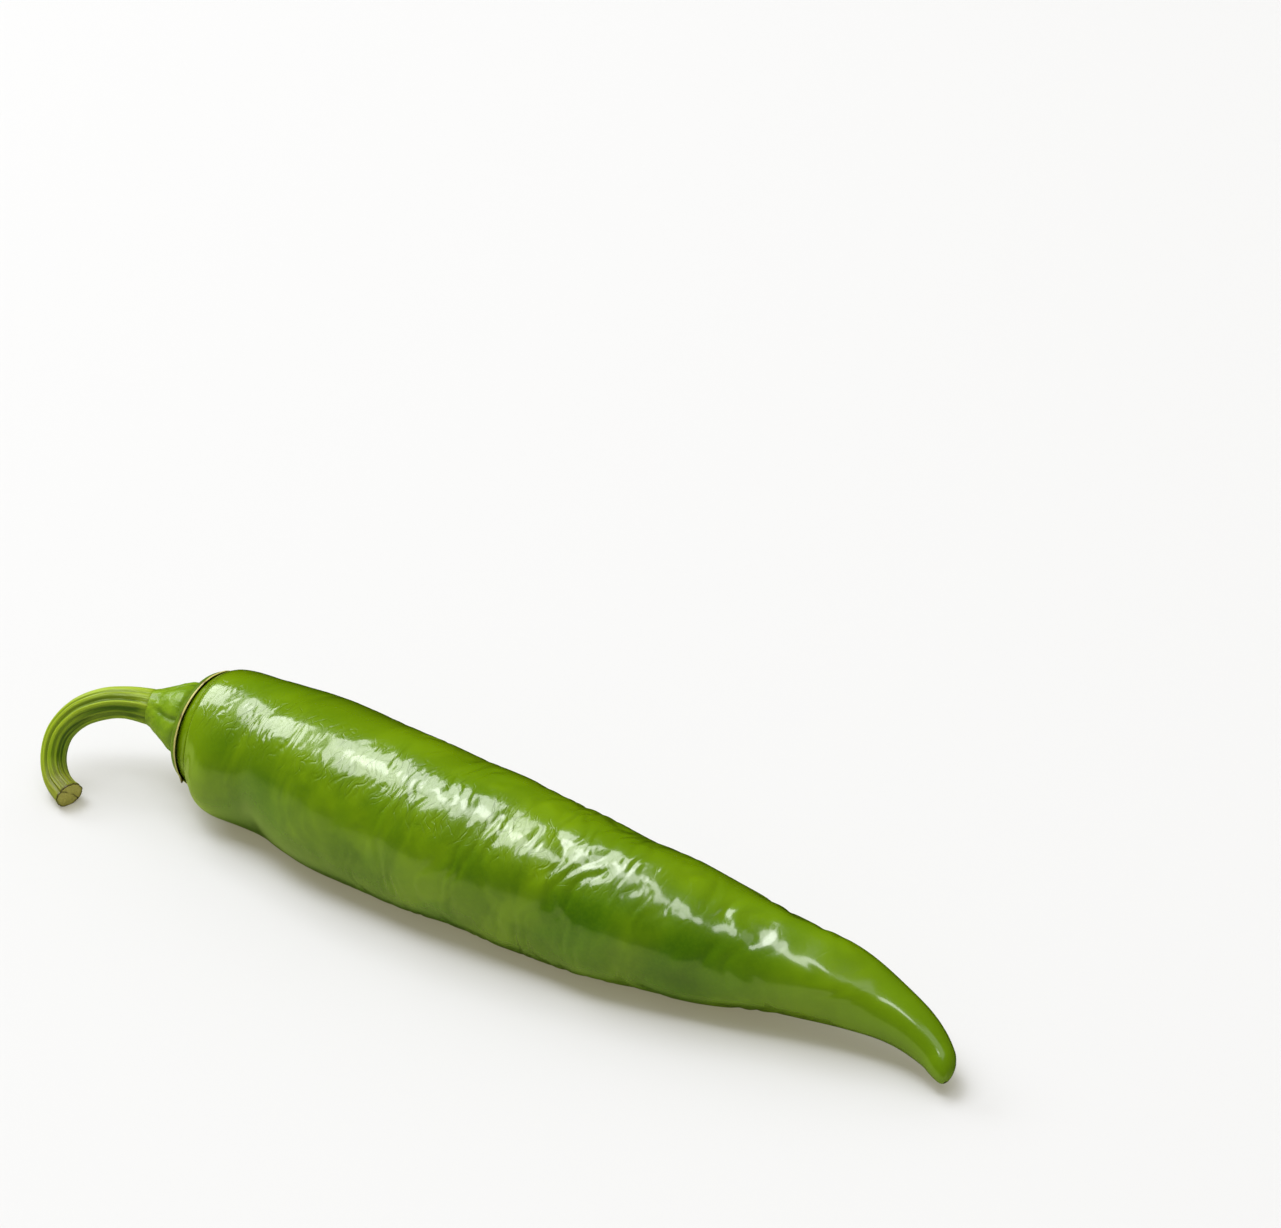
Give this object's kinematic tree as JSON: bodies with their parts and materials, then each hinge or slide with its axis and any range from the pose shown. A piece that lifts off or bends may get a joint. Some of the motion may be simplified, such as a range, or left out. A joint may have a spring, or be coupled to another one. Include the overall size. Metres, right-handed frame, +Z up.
{
  "type": "chilli pepper",
  "caption": "Long green chilli pepper lying on its side: glossy tapering pod with a curled tail, a flared calyx cap and a hooked, cut stem.",
  "frame": {"origin": "centre of the bounding box's base, on the surface the pepper lies on", "axes": "+X along the pod from the stem towards the tip, +Z up, +Y to the side that the tail sways to"},
  "size_m": [0.1576, 0.0342, 0.0257],
  "materials": {
    "pod_skin": "glossy waxy green skin, finely wrinkled, with darker mottling",
    "calyx_skin": "satin blue-green skin with fine pits and a dry pale rim",
    "stem_skin": "satin ridged green stalk, straw-coloured on the cut face"
  },
  "bodies": {
    "root": {"pod": "pod_skin", "calyx": "calyx_skin", "stem": "stem_skin"}
  },
  "joints": []
}
